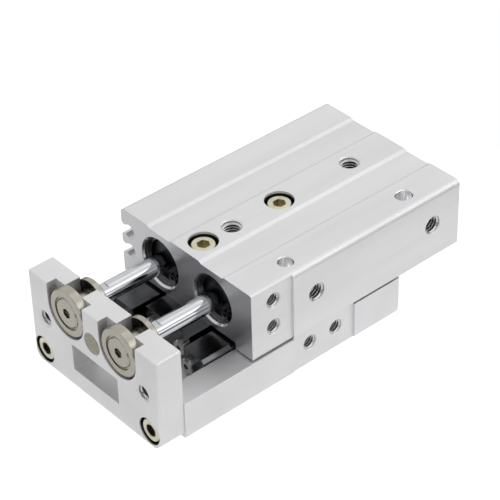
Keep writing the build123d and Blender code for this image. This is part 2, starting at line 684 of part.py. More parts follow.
def make_end_plate():
    half = [
        (0, 0),
        (PLATE_HALF - PLATE_FOOT_CHAMFER, 0),
        (PLATE_HALF, PLATE_FOOT_CHAMFER),
        (PLATE_HALF, PLATE_HEIGHT),
        (0, PLATE_HEIGHT),
    ]
    outline = flat(half + [(-y, z) for y, z in reversed(half[1:-1])])
    plate = prism_x(outline, TABLE_FRONT, PLATE_FRONT)
    uprights = [
        e for e in plate.edges().filter_by(Axis.Z)
        if abs(abs(e.center().Y) - PLATE_HALF) < 1e-4 and abs(e.center().X - PLATE_FRONT) < 1e-4
    ]
    plate = fillet(uprights, PLATE_EDGE_R)
    top = plate.faces().sort_by(Axis.Z)[-1]
    plate = chamfer([e for e in top.edges() if e.center().X > TABLE_FRONT + 1e-4], PLATE_CHAMFER)
    rise = PLATE_HEIGHT - BORE_Z + OVER
    for side in SIDES.values():
        for r, back in ((SLOT_WIDE_R, PLATE_FRONT - SLOT_WIDE_DEPTH), (SLOT_NARROW_R, TABLE_FRONT - OVER)):
            slot = Circle(r) + Pos(0, rise / 2) * Rectangle(2 * r, rise)
            plate -= prism_x(Pos(side * BORE_Y, BORE_Z) * slot, back, PLATE_FRONT + OVER)
        for face, turn in ((PLATE_FRONT, facing_front), (TABLE_FRONT, facing_back)):
            tapped = turn(hole(M4_R, PLATE_THICKNESS / 2, PLATE_M4_CHAMFER_R))
            plate -= Pos(face, side * PLATE_M4_Y, PLATE_M4_Z) * tapped
        shoulder = PLATE_FRONT - PLATE_SCREW_SINK - M4_HEAD_HEIGHT
        plate -= turned_x([
            (PLATE_FRONT + OVER, 0),
            (PLATE_FRONT + OVER, PLATE_COUNTERBORE_R),
            (shoulder, PLATE_COUNTERBORE_R),
            (shoulder, M4_PASS_R),
            (TABLE_FRONT - OVER, M4_PASS_R),
            (TABLE_FRONT - OVER, 0),
        ], side * PLATE_SCREW_Y, PLATE_SCREW_Z)
    plate -= prism_x(window_outline(0), TABLE_FRONT - OVER, PLATE_FRONT + OVER)
    plate -= loft([
        Plane.YZ.offset(PLATE_FRONT) * window_outline(WINDOW_CHAMFER),
        Plane.YZ.offset(PLATE_FRONT - WINDOW_CHAMFER) * window_outline(0),
    ])
    pin_hole = Pos(0, PIN_Z) * Circle(PIN_R + FIT)
    plate -= prism_x(pin_hole, TABLE_FRONT - OVER, PLATE_FRONT + OVER)
    return plate


def make_table():
    half = [
        (0, 0),
        (HALF_WIDTH, 0),
        (HALF_WIDTH, TABLE_TOP_Z),
        (TABLE_CHANNEL_HALF, TABLE_TOP_Z),
        (TABLE_CHANNEL_HALF, TABLE_FLOOR_Z),
        (0, TABLE_FLOOR_Z),
    ]
    rear = TABLE_FRONT - TABLE_LENGTH
    section = Sketch() + flat(half + [(-y, z) for y, z in reversed(half[1:-1])])
    for side in (-HALF_WIDTH, HALF_WIDTH):
        section = fillet(corner_points(section, side, 0), TABLE_FOOT_R)
    table = prism_x(section, rear, TABLE_FRONT)
    corners = [
        e for e in table.edges().filter_by(Axis.Z)
        if abs(abs(e.center().Y) - HALF_WIDTH) < 1e-4 and abs(e.center().X - rear) < 1e-4
    ]
    table = fillet(corners, TABLE_CORNER_R)
    near, far = TABLE_FLAT_X
    flat_width = SIDE_FLAT_DEPTH + OVER
    table -= Pos(
        (near + far) / 2,
        HALF_WIDTH - SIDE_FLAT_DEPTH + flat_width / 2,
        TABLE_TOP_Z / 2,
    ) * Box(near - far, flat_width, TABLE_TOP_Z + 2 * OVER)
    for x in TABLE_SIDE_M4_X:
        tapped = facing_port(hole(M4_R, TABLE_SIDE_M4_DEPTH, M4_CHAMFER_R))
        table -= Pos(x, HALF_WIDTH - SIDE_FLAT_DEPTH, TABLE_SIDE_M4_Z) * tapped
    shoulder = RAIL_SCREW_SINK + RAIL_HEAD_HEIGHT
    for side in SIDES.values():
        for x in TABLE_FOOT_M4_X:
            tapped = facing_down(hole(M4_R, TABLE_FOOT_M4_DEPTH, M4_CHAMFER_R))
            table -= Pos(x, side * TABLE_FOOT_M4_Y, 0) * tapped
        threaded = hole(M4_R + FIT, PLATE_SCREW_THREAD, M4_R + FIT)
        table -= Pos(TABLE_FRONT, side * PLATE_SCREW_Y, PLATE_SCREW_Z) * facing_front(threaded)
        for x in RAIL_SCREW_X:
            table -= Pos(x, side * RAIL_MID, 0) * turned_z([
                (0, -OVER),
                (RAIL_COUNTERBORE_R, -OVER),
                (RAIL_COUNTERBORE_R, shoulder),
                (RAIL_PASS_R, shoulder),
                (RAIL_PASS_R, TABLE_FLOOR_Z + OVER),
                (0, TABLE_FLOOR_Z + OVER),
            ])
    return table


def bumper_pin():
    pin = Pos(0, PIN_Z) * Circle(PIN_R)
    return prism_x(pin, TABLE_FRONT + END_PLAY, PLATE_FRONT)


def bumper_pad():
    back = TABLE_FRONT - CLOSED_GAP + STOP_GAP
    return turned_x([
        (back, 0),
        (back, PAD_R - HEAD_EDGE),
        (back + HEAD_EDGE, PAD_R),
        (TABLE_FRONT - FIT, PAD_R),
        (TABLE_FRONT - FIT, 0),
    ], 0, PIN_Z)


# ---------------------------------------------------------------- guide
def vee(face_y, way):
    """Corners of a V groove in a face at the given Y, cut towards Y times way."""
    root = GROOVE_Y + way * GROOVE_REACH
    return [
        (face_y, ROLLER_Z - GROOVE_OPEN),
        (root - way * GROOVE_RELIEF, ROLLER_Z - GROOVE_RELIEF),
        (root + way * GROOVE_RELIEF, ROLLER_Z - GROOVE_RELIEF),
        (root + way * GROOVE_RELIEF, ROLLER_Z + GROOVE_RELIEF),
        (root - way * GROOVE_RELIEF, ROLLER_Z + GROOVE_RELIEF),
        (face_y, ROLLER_Z + GROOVE_OPEN),
    ]


def stop_screw_holes(x_front, y):
    """Tapped holes in both ends of a guide member."""
    cut = hole(STOP_SHANK_R + FIT, STOP_SHANK_LENGTH, STOP_SHANK_R + FIT)
    front = Pos(x_front, y, ROLLER_Z) * facing_front(cut)
    back = Pos(x_front - GUIDE_LENGTH, y, ROLLER_Z) * facing_back(cut)
    return [front, back]


def stop_screws(x_front, y):
    """The two cage stop screws of a guide member."""
    screw = socket_screw(
        STOP_HEAD_R, STOP_HEAD_THICKNESS, STOP_SHANK_R, STOP_SHANK_LENGTH - END_PLAY,
        STOP_HEAD_FLATS, STOP_HEAD_THICKNESS / 2,
    )
    reach = STOP_HEAD_THICKNESS + FIT
    front = Pos(x_front + reach, y, ROLLER_Z) * facing_front(screw)
    back = Pos(x_front - GUIDE_LENGTH - reach, y, ROLLER_Z) * facing_back(screw)
    return [front, back]


def make_guide_block():
    right = [(BLOCK_HALF, BLOCK_BASE_Z)] + vee(BLOCK_HALF, -1) + [(BLOCK_HALF, LAND_Z - FIT)]
    outline = flat(right + [(-y, z) for y, z in reversed(right)])
    block = prism_x(outline, BLOCK_FRONT - GUIDE_LENGTH, BLOCK_FRONT)
    for x in BLOCK_SCREW_X:
        block -= Pos(x, 0, LAND_Z - FIT) * hole(M4_R + FIT, BLOCK_THREAD_DEPTH, M4_R + FIT)
    for side in SIDES.values():
        for cut in stop_screw_holes(BLOCK_FRONT, side * (GROOVE_Y - STOP_SCREW_OFFSET)):
            block -= cut
    return block


def make_rail():
    """Rail of the port side; the other one is its mirror image."""
    outline = flat(
        [(RAIL_INNER, TABLE_FLOOR_Z + FIT)]
        + vee(RAIL_INNER, 1)
        + [
            (RAIL_INNER, RAIL_TOP_Z),
            (RAIL_OUTER - RAIL_CHAMFER, RAIL_TOP_Z),
            (RAIL_OUTER, RAIL_TOP_Z - RAIL_CHAMFER),
            (RAIL_OUTER, TABLE_FLOOR_Z + FIT),
        ]
    )
    rail = prism_x(outline, RAIL_FRONT - GUIDE_LENGTH, RAIL_FRONT)
    for x in RAIL_SCREW_X:
        threaded = facing_down(hole(RAIL_SCREW_R + FIT, RAIL_THREAD_DEPTH, RAIL_SCREW_R + FIT))
        rail -= Pos(x, RAIL_MID, TABLE_FLOOR_Z + FIT) * threaded
    for cut in stop_screw_holes(RAIL_FRONT, GROOVE_Y + STOP_SCREW_OFFSET):
        rail -= cut
    return rail


def roller_stations():
    first = CAGE_FRONT - ROLLER_PITCH / 2
    return [first - i * ROLLER_PITCH for i in range(ROLLER_COUNT)]


def make_cage():
    middle = CAGE_FRONT - CAGE_LENGTH / 2
    cage = Pos(middle, GROOVE_Y, ROLLER_Z) * Box(CAGE_LENGTH, CAGE_THICKNESS, CAGE_HEIGHT)
    window_x = 2 * (ROLLER_R + CAGE_PLAY)
    window_z = 2 * (ROLLER_R * sqrt(2) + CAGE_PLAY)
    for x in roller_stations():
        cage -= Pos(x, GROOVE_Y, ROLLER_Z) * Box(window_x, 2 * CAGE_THICKNESS, window_z)
    return cage


def make_rollers():
    """Rollers of one cage; each axis stands square to the next one's."""
    rollers = []
    for i, x in enumerate(roller_stations()):
        tilt = 45 if i % 2 == 0 else -45
        roller = Rot(tilt, 0, 0) * Cylinder(ROLLER_R, ROLLER_LENGTH)
        rollers.append(Pos(x, GROOVE_Y, ROLLER_Z) * roller)
    return rollers


def to_side(piece, side):
    """The piece itself for the port side, its mirror image for the sensor side."""
    return piece if side > 0 else mirror(piece, about=Plane.XZ)


# ---------------------------------------------------------------- all pieces
parts = {
    "cylinder_body": make_body(),
    "guide_block": make_guide_block(),
    "table": make_table(),
    "end_plate": make_end_plate(),
    "bumper_pin": bumper_pin(),
    "bumper_pad": bumper_pad(),
}

block_shank = BODY_TOP_Z - BLOCK_SCREW_SINK - M4_HEAD_HEIGHT - LAND_Z + BLOCK_THREAD_DEPTH - END_PLAY
block_screw = socket_screw(
    M4_HEAD_R, M4_HEAD_HEIGHT - FIT, M4_R, block_shank, M4_SOCKET_FLATS, M4_SOCKET_DEPTH
)
parts["guide_block_screws"] = group(
    Pos(x, 0, BODY_TOP_Z - BLOCK_SCREW_SINK) * block_screw for x in BLOCK_SCREW_X
)

plate_shank = PLATE_THICKNESS - PLATE_SCREW_SINK - M4_HEAD_HEIGHT + PLATE_SCREW_THREAD - END_PLAY
plate_screw = facing_front(socket_screw(
    M4_HEAD_R, M4_HEAD_HEIGHT - FIT, M4_R, plate_shank, M4_SOCKET_FLATS, M4_SOCKET_DEPTH
))
parts["end_plate_screws"] = group(
    Pos(PLATE_FRONT - PLATE_SCREW_SINK, side * PLATE_SCREW_Y, PLATE_SCREW_Z) * plate_screw
    for side in SIDES.values()
)

rail_shank = TABLE_FLOOR_Z - RAIL_SCREW_SINK - RAIL_HEAD_HEIGHT + RAIL_THREAD_DEPTH - END_PLAY
rail_screw = facing_down(socket_screw(
    RAIL_HEAD_R, RAIL_HEAD_HEIGHT - FIT, RAIL_SCREW_R, rail_shank, RAIL_HEAD_FLATS,
    RAIL_HEAD_HEIGHT / 2,
))
parts["rail_screws"] = group(
    Pos(x, side * RAIL_MID, RAIL_SCREW_SINK) * rail_screw
    for side in SIDES.values() for x in RAIL_SCREW_X
)

parts["guide_block_stop_screws"] = group(
    screw for side in SIDES.values()
    for screw in stop_screws(BLOCK_FRONT, side * (GROOVE_Y - STOP_SCREW_OFFSET))
)
parts["rail_stop_screws"] = group(
    screw for side in SIDES.values()
    for screw in stop_screws(RAIL_FRONT, side * (GROOVE_Y + STOP_SCREW_OFFSET))
)

in_each_bore = {
    "rod_cover": rod_cover(),
    "rod_seal": rod_seal(),
    "rod_cover_o_ring": o_ring(COVER_O_RING_X),
    "front_retaining_ring": retaining_ring(-RING_SETBACK - FIT),
    "head_cap": head_cap(),
    "head_cap_o_ring": o_ring(CAP_O_RING_X),
    "head_bumper": head_bumper(),
    "rear_retaining_ring": retaining_ring(-BODY_LENGTH + RING_GROOVE[1] - FIT),
    "piston": piston(),
    "piston_seal": tube_x(
        PISTON_SEAL_INNER_R + FIT, BORE_R - RUN, PISTON_SEAL_X[0] - END_PLAY, PISTON_SEAL_X[1] + END_PLAY
    ),
    "piston_magnet": tube_x(
        MAGNET_INNER_R + FIT, MAGNET_OUTER_R, MAGNET_X[0] - END_PLAY, MAGNET_X[1] + END_PLAY
    ),
    "rod_bumper": tube_x(ROD_R + FIT, ROD_BUMPER_R, PISTON_FRONT + FIT, NOSE_END - STOP_GAP),
    "piston_rod": piston_rod(),
    "rod_end_flange": rod_end_flange(),
    "rod_end_disc": rod_end_disc(),
    "rod_end_screw": rod_end_screw(),
}

rail = make_rail()
cage = make_cage()
rollers = make_rollers()
for name, side in SIDES.items():
    for piece, shape in in_each_bore.items():
        parts[f"{piece}_{name}"] = Pos(0, side * BORE_Y, BORE_Z) * shape
    parts[f"guide_rail_{name}"] = to_side(rail, side)
    parts[f"roller_cage_{name}"] = to_side(cage, side)
    parts[f"cross_rollers_{name}"] = group(to_side(roller, side) for roller in rollers)

for name, shape in parts.items():
    export_step(Pos(SHIFT_X, 0, 0) * shape, f"parts/{name}.step")
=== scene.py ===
import json
import math

import bmesh
import bpy
from mathutils import Matrix, Vector


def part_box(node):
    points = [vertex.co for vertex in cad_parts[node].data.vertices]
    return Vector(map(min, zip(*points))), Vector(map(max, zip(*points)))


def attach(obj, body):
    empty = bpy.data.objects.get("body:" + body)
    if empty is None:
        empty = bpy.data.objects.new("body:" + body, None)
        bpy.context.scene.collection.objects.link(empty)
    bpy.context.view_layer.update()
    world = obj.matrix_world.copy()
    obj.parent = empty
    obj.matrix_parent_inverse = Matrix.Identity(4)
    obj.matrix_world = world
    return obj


# Looks of a slide table cylinder: finishes, screw threads, light and camera.
# Lengths are in metres, and in millimetres where a name ends in _mm or a comment says
# so. +X runs to the end plate, +Y to the air ports, +Z up.

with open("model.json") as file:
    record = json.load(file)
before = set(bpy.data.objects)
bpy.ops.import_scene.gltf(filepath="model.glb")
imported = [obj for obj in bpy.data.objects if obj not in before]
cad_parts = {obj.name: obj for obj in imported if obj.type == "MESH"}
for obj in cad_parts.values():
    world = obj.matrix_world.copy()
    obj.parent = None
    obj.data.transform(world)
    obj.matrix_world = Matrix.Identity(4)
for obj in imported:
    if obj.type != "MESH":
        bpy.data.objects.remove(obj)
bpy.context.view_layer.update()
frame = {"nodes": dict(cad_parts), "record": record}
nodes = frame["nodes"]
MM = 0.001

body_low, body_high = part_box("cylinder_body")
table_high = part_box("table")[1]
plate_low, plate_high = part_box("end_plate")
FRONT = body_high.x              # front face of the body
FLAT_DEPTH = 0.6 * MM            # depth of the milled flats on the side of the air ports

# Middle and half spacing of pairs of round pieces and of the body's ends, by axis.
BODY_ENDS = (("X", (body_low.x + FRONT) / 2, (FRONT - body_low.x) / 2),)
ROD_PAIR = (("Y", 0, 10 * MM), ("Z", 21.5 * MM, 0))
BLOCK_SCREW_PAIR = (("X", FRONT - 18.5 * MM, 12.5 * MM), ("Y", 0, 0))
PLATE_SCREW_PAIR = (("Y", 0, 20.6 * MM), ("Z", 4 * MM, 0))
LOCATING_PAIR = (("X", FRONT - 35.2 * MM, 20 * MM), ("Y", 19.8 * MM, 0))
PIN_CENTRE = (("Y", 0, 0), ("Z", 18.3 * MM, 0))

# Nearest and farthest distance in mm from those axes, and from the body's ends.
END_FACE = (0, 0.05)
BORE_WALL = (5, 7.3)
LOCATING_HOLE = (0, 2.7)
BLOCK_SCREW_SINK = (0, 4.0)      # counterbores in the body's top
PLATE_SCREW_SINK = (0, 3.85)     # counterbores in the end plate
SCREW_SOCKET = (0, 1.8)          # hex sockets of the M4 screws
ROD_SOCKET = (0, 1.05)           # hex sockets of the rod end screws
FLANGE_FACE = (3.15, 5.6)        # faces of the flanges towards the end plate

# A lathe's feed is about 0.12 mm. Its rings are drawn four times as wide, so that they show.
LATHE_RING_MM = 0.5

NOISE_LOW, NOISE_HIGH = 0.3, 0.7  # most of a noise texture lies between these
GRAIN_STRENGTH = 0.4             # of the bump of the grain, and below of the lathe's rings
RING_STRENGTH = 0.5
EDGE_SAMPLES = 4


# ------------------------------------------------------------ node tools
def hex_colour(text):
    """sRGB hex such as "d8d9db" to a linear colour."""
    channels = [int(text[i:i + 2], 16) / 255 for i in (0, 2, 4)]
    linear = [c / 12.92 if c <= 0.04045 else ((c + 0.055) / 1.055) ** 2.4 for c in channels]
    return (*linear, 1.0)


def add_node(tree, kind, inputs=None, **settings):
    """Adds a node with its settings. An input is a value or the output it is linked from."""
    node = tree.nodes.new(kind)
    for name, value in settings.items():
        setattr(node, name, value)
    for key, value in (inputs or {}).items():
        if isinstance(value, bpy.types.NodeSocket):
            tree.links.new(value, node.inputs[key])
        else:
            node.inputs[key].default_value = value
    return node


def feed(socket):
    """The output that an input is linked from."""
    return socket.links[0].from_socket


def speckle(tree, size_mm, roughness):
    """Noise whose spots have the sizes size_mm along X, Y and Z."""
    place = add_node(tree, "ShaderNodeTexCoord").outputs["Object"]
    spots = add_node(tree, "ShaderNodeMapping", {
        "Vector": place, "Scale": [1 / (mm * MM) for mm in size_mm],
    }).outputs["Vector"]
    return add_node(tree, "ShaderNodeTexNoise", {
        "Vector": spots, "Scale": 1.0, "Detail": 2.0, "Roughness": roughness,
    }).outputs["Fac"]


def finish(name, dark, light, gloss, patch_mm, grain_mm, relief_mm, metallic=1.0, edge_mm=0.0):
    """A material whose colour drifts between dark and light over patches of patch_mm.
    A finer grain of grain_mm moves the roughness between the two values of gloss and
    stands relief_mm high. Patch and grain are sizes along X, Y and Z. edge_mm rounds
    the sharp edges for the light."""
    material = bpy.data.materials.new(name)
    material.use_nodes = True
    tree = material.node_tree
    shader = tree.nodes["Principled BSDF"]
    shader.inputs["Metallic"].default_value = metallic

    drift = add_node(tree, "ShaderNodeMapRange", {
        "Value": speckle(tree, patch_mm, 0.5), "From Min": NOISE_LOW, "From Max": NOISE_HIGH,
    }).outputs["Result"]
    colour = add_node(tree, "ShaderNodeMix", {
        0: drift, 6: hex_colour(dark), 7: hex_colour(light),
    }, data_type="RGBA").outputs[2]
    tree.links.new(colour, shader.inputs["Base Color"])

    grain = speckle(tree, grain_mm, 0.55)
    rough = add_node(tree, "ShaderNodeMapRange", {
        "Value": grain, "From Min": NOISE_LOW, "From Max": NOISE_HIGH,
        "To Min": gloss[0], "To Max": gloss[1],
    }).outputs["Result"]
    tree.links.new(rough, shader.inputs["Roughness"])

    relief = add_node(tree, "ShaderNodeBump", {
        "Height": grain, "Distance": relief_mm * MM,
        "Strength": GRAIN_STRENGTH if relief_mm else 0.0,
    })
    if edge_mm:
        edge = add_node(tree, "ShaderNodeBevel", {"Radius": edge_mm * MM}, samples=EDGE_SAMPLES)
        tree.links.new(edge.outputs["Normal"], relief.inputs["Normal"])
    tree.links.new(relief.outputs["Normal"], shader.inputs["Normal"])
    return material


def axis_radius(tree, pair):
    """Distance from the nearer axis of a pair of round pieces."""
    place = add_node(tree, "ShaderNodeTexCoord").outputs["Object"]
    parts = add_node(tree, "ShaderNodeSeparateXYZ", {0: place}).outputs
    offsets = []
    for axis, middle, half_spacing in pair:
        away = add_node(tree, "ShaderNodeMath", {0: parts[axis], 1: middle}, operation="SUBTRACT")
        away = add_node(tree, "ShaderNodeMath", {0: away.outputs[0]}, operation="ABSOLUTE")
        away = add_node(tree, "ShaderNodeMath", {0: away.outputs[0], 1: half_spacing},
                        operation="SUBTRACT")
        offsets.append(away.outputs[0])
    flat = add_node(tree, "ShaderNodeCombineXYZ", dict(enumerate(offsets)))
    return add_node(tree, "ShaderNodeVectorMath", {0: flat.outputs[0]},
                    operation="LENGTH").outputs["Value"]


def turned_rings(material, pair, depth_mm):
    """Adds the rings that a lathe leaves round the axis of each piece."""
    tree = material.node_tree
    normal = tree.nodes["Principled BSDF"].inputs["Normal"]
    rings = add_node(tree, "ShaderNodeTexNoise", {
        "W": axis_radius(tree, pair), "Scale": 1 / (LATHE_RING_MM * MM), "Detail": 1.0,
    }, noise_dimensions="1D").outputs["Fac"]
    cut = add_node(tree, "ShaderNodeBump", {
        "Height": rings, "Distance": depth_mm * MM, "Strength": RING_STRENGTH,
        "Normal": feed(normal),
    })
    tree.links.new(cut.outputs["Normal"], normal)
    return material


def other_tone(material, pair, reach_mm, tone, axis=None, span=(0, 0), gloss=None):
    """Gives the surface whose distance from the nearer axis lies within reach_mm another
    tone, as in a socket or a counterbore. Where an axis is named, only what lies in that
    span along it changes. Where gloss is given, that surface has this roughness."""
    tree = material.node_tree
    base = tree.nodes["Principled BSDF"].inputs["Base Color"]
    rough = tree.nodes["Principled BSDF"].inputs["Roughness"]
    near, far = reach_mm
    inside = add_node(tree, "ShaderNodeMath", {
        0: axis_radius(tree, pair), 1: (near + far) / 2 * MM, 2: (far - near) / 2 * MM,
    }, operation="COMPARE").outputs[0]
    if axis:
        place = add_node(tree, "ShaderNodeTexCoord").outputs["Object"]
        low, high = span
        level = add_node(tree, "ShaderNodeMath", {
            0: add_node(tree, "ShaderNodeSeparateXYZ", {0: place}).outputs[axis],
            1: (low + high) / 2, 2: (high - low) / 2,
        }, operation="COMPARE").outputs[0]
        inside = add_node(tree, "ShaderNodeMath", {0: inside, 1: level},
                          operation="MULTIPLY").outputs[0]
    both = add_node(tree, "ShaderNodeMix", {
        0: inside, 6: feed(base), 7: hex_colour(tone),
    }, data_type="RGBA")
    tree.links.new(both.outputs[2], base)
    if gloss is not None:
        both = add_node(tree, "ShaderNodeMix", {0: inside, 2: feed(rough), 3: gloss})
        tree.links.new(both.outputs[0], rough)
    return material


# ------------------------------------------------------------ finishes
PAINTED_SHADE = "3c3b38"              # dark painted shade round the heads of sunk screws and in narrow gaps

# Extruded aluminium, blasted and clear anodised: light grey satin with faint lines
# along the profile.
extrusion = finish(
    "anodised_aluminium_extrusion", "dcdcdd", "e4e4e5", gloss=(0.44, 0.54), metallic=0.9,
    patch_mm=(60, 8, 8), grain_mm=(25, 0.3, 0.3), relief_mm=0.006, edge_mm=0.12)
# Painted shade in its counterbores, round the screw heads, starts 0.7 mm down.
other_tone(extrusion, BLOCK_SCREW_PAIR, BLOCK_SCREW_SINK, PAINTED_SHADE,
           "Z", (body_low.z, body_high.z - 0.7 * MM))
# Its ends are milled and glossier, and painted a little darker as shade, and its bores are honed.
other_tone(extrusion, BODY_ENDS, END_FACE, "c4c4c6", gloss=0.32)
# The honed bores are glossier, and painted darker as shade inside them.
other_tone(extrusion, ROD_PAIR, BORE_WALL, "c6c6c8",
           "X", (body_low.x + 0.1 * MM, FRONT - 0.1 * MM), gloss=0.16)
# Its reamed locating holes are bare, so they are brighter and glossier.
other_tone(extrusion, LOCATING_PAIR, LOCATING_HOLE, "ededee",
           "Z", (body_low.z, body_high.z - 0.1 * MM), gloss=0.16)

# Machined aluminium, blasted and clear anodised: the same grey with a fine even grit.
BLASTED = {
    "dark": "dededf", "light": "e4e4e5", "gloss": (0.46, 0.56), "metallic": 0.9,
    "patch_mm": (12, 12, 12), "grain_mm": (0.25, 0.25, 0.25), "relief_mm": 0.008,
    "edge_mm": 0.15,
}
blasted = finish("anodised_aluminium_blasted", **BLASTED)
# Painted shade in the end plate's counterbores, round the screw heads, starts 0.3 mm down.
plate_aluminium = other_tone(
    finish("anodised_aluminium_end_plate", **BLASTED), PLATE_SCREW_PAIR, PLATE_SCREW_SINK,
    PAINTED_SHADE, "X", (plate_low.x, plate_high.x - 0.3 * MM))

# Threads cut after anodising: bare aluminium and glossier, painted darker than the anodised grey
# as shade deep in the tapped holes.
cut_thread = finish(
    "cut_aluminium_thread", "b9b9ba", "c9c9ca", gloss=(0.16, 0.28),
    patch_mm=(1, 1, 1), grain_mm=(0.3, 0.3, 0.3), relief_mm=0.002)

# Turned aluminium with a clear finish, as on the pistons.
turned_aluminium = turned_rings(finish(
    "turned_aluminium", "b4b4b6", "c0c0c2", gloss=(0.26, 0.36),
    patch_mm=(3, 3, 3), grain_mm=(0.3, 0.3, 0.3), relief_mm=0.002,
), ROD_PAIR, depth_mm=0.01)

# Turned and black anodised covers: nearly black, with a dull shine on the lathe's rings.
black_covers = turned_rings(finish(
    "black_anodised_aluminium", "1b1b1d", "252528", gloss=(0.24, 0.36), metallic=0.5,
    patch_mm=(2, 2, 2), grain_mm=(0.3, 0.3, 0.3), relief_mm=0.002,
), ROD_PAIR, depth_mm=0.015)

# Hardened and ground guide steel: dark, with grinding lines along the travel.
guide_steel = finish(
    "ground_hardened_steel", "505153", "626365", gloss=(0.15, 0.27),
    patch_mm=(20, 4, 4), grain_mm=(22, 0.14, 0.14), relief_mm=0.003, edge_mm=0.12)

# Hard chrome, lapped: mirror like, with faint bands of gloss across the rod.
chrome = finish(
    "polished_hard_chrome", "c2c4c7", "cacccf", gloss=(0.05, 0.12),
    patch_mm=(6, 6, 6), grain_mm=(0.5, 10, 10), relief_mm=0.0)

# Yellow passivated zinc: a warm pale grey. Its hex sockets are painted a deeper tone as shade,
# and those of the end plate darker still.
BRASSY = {
    "dark": "c9c5ae", "light": "dcd9c9", "gloss": (0.2, 0.34),
    "patch_mm": (1.6, 1.6, 1.6), "grain_mm": (0.15, 0.15, 0.15), "relief_mm": 0.004,
}
screw_zinc = finish("yellow_passivated_zinc", **BRASSY)
block_screw_zinc_painted_socket_shade = other_tone(
    finish("yellow_passivated_zinc_top", **BRASSY), BLOCK_SCREW_PAIR, SCREW_SOCKET, "bcb59c")
plate_screw_zinc_painted_socket_shade = other_tone(
    finish("yellow_passivated_zinc_front", **BRASSY), PLATE_SCREW_PAIR, SCREW_SOCKET, "8f8b78")

# Turned steel rod ends with a grey olive passivation, and the duller pin beside them.
# The flanges are painted dark as shade where they face the narrow gap behind the end plate.
OLIVE = {
    "dark": "a6a298", "light": "aca89e", "gloss": (0.24, 0.3),
    "patch_mm": (4, 4, 4), "grain_mm": (0.5, 0.5, 0.5), "relief_mm": 0.0,
}
rod_end_steel = turned_rings(
    finish("turned_passivated_steel", **OLIVE), ROD_PAIR, depth_mm=0.006)
# The sockets of the rod end screws are painted nearly black: painted shade.
rod_screw_steel_painted_socket_shade = other_tone(
    finish("turned_passivated_steel_screw", **OLIVE), ROD_PAIR, ROD_SOCKET, "37342e")
rod_flange_steel_painted_shade = other_tone(
    finish("turned_passivated_steel_flange", **OLIVE), ROD_PAIR, FLANGE_FACE, PAINTED_SHADE,
    "X", (plate_low.x - 0.2 * MM, plate_low.x + 0.2 * MM))
pin_steel = turned_rings(finish(
    "sawn_passivated_steel", "8d897d", "a29e92", gloss=(0.36, 0.5),
    patch_mm=(0.8, 0.8, 0.8), grain_mm=(0.25, 0.25, 0.25), relief_mm=0.02,
), PIN_CENTRE, depth_mm=0.006)

# Small bright stop screws.
bright_steel = finish(
    "bright_screw_steel", "a9a9a8", "bcbcba", gloss=(0.18, 0.3),
    patch_mm=(1, 1, 1), grain_mm=(0.15, 0.15, 0.15), relief_mm=0.003)

# Phosphated spring steel with a thin film of oil.
phosphate = finish(
    "phosphated_spring_steel", "464648", "5c5c60", gloss=(0.18, 0.3),
    patch_mm=(0.8, 0.8, 0.8), grain_mm=(0.12, 0.12, 0.12), relief_mm=0.004)

# Moulded nitrile rubber: matt black.
rubber = finish(
    "moulded_nitrile_rubber", "191919", "222223", gloss=(0.55, 0.7), metallic=0.0,
    patch_mm=(2, 2, 2), grain_mm=(0.2, 0.2, 0.2), relief_mm=0.01)

# Bonded magnet: dull dark grey with a granular surface.
magnet = finish(
    "bonded_magnet", "2c2928", "3f3b39", gloss=(0.5, 0.65), metallic=0.2,
    patch_mm=(0.3, 0.3, 0.3), grain_mm=(0.15, 0.15, 0.15), relief_mm=0.01)

# Rolled brass strip with lines along its length.
brass = finish(
    "rolled_brass_strip", "ad8f50", "bb9d5f", gloss=(0.24, 0.36),
    patch_mm=(5, 2, 2), grain_mm=(14, 0.12, 0.12), relief_mm=0.003)

by_slot = {
    "anodised_aluminium": blasted,
    "black_anodised_aluminium": black_covers,
    "plain_aluminium": turned_aluminium,
    "hardened_steel": guide_steel,
    "polished_steel": chrome,
    "yellow_zinc_steel": screw_zinc,
    "olive_steel": rod_end_steel,
    "bright_steel": bright_steel,
    "phosphated_steel": phosphate,
    "black_rubber": rubber,
    "magnet": magnet,
    "cage_brass": brass,
}
by_node = {
    "cylinder_body": extrusion,
    "guide_block_screws": block_screw_zinc_painted_socket_shade,
    "end_plate_screws": plate_screw_zinc_painted_socket_shade,
    "bumper_pin": pin_steel,
    "end_plate": plate_aluminium,
    "rod_end_flange_port_side": rod_flange_steel_painted_shade,
    "rod_end_flange_sensor_side": rod_flange_steel_painted_shade,
    "rod_end_screw_port_side": rod_screw_steel_painted_socket_shade,
    "rod_end_screw_sensor_side": rod_screw_steel_painted_socket_shade,
}
for entry in frame["record"]["subparts"]:
    material = by_node.get(entry["node"], by_slot[entry["material_slot"]])
    for held in nodes[entry["node"]].material_slots:
        held.material = material


# ------------------------------------------------------------ new pieces
def add_piece(name, mesh, material):
    """Object of a finished mesh with one material."""
    data = bpy.data.meshes.new(name)
    mesh.to_mesh(data)
    mesh.free()
    data.materials.append(material)
    piece = bpy.data.objects.new(name, data)
    bpy.context.scene.collection.objects.link(piece)
    return piece


# Radius and pitch of the threads in mm.
M5 = (2.5, 0.8)
M4 = (2.0, 0.7)
RIDGE_HEIGHT = 0.58              # in pitches
WALL_OVERLAP = 0.02              # in mm, of a ridge with the wall of its hole
FIRST_RIDGE = 0.45               # its middle below the lead-in, in pitches
STEPS_PER_TURN = 26


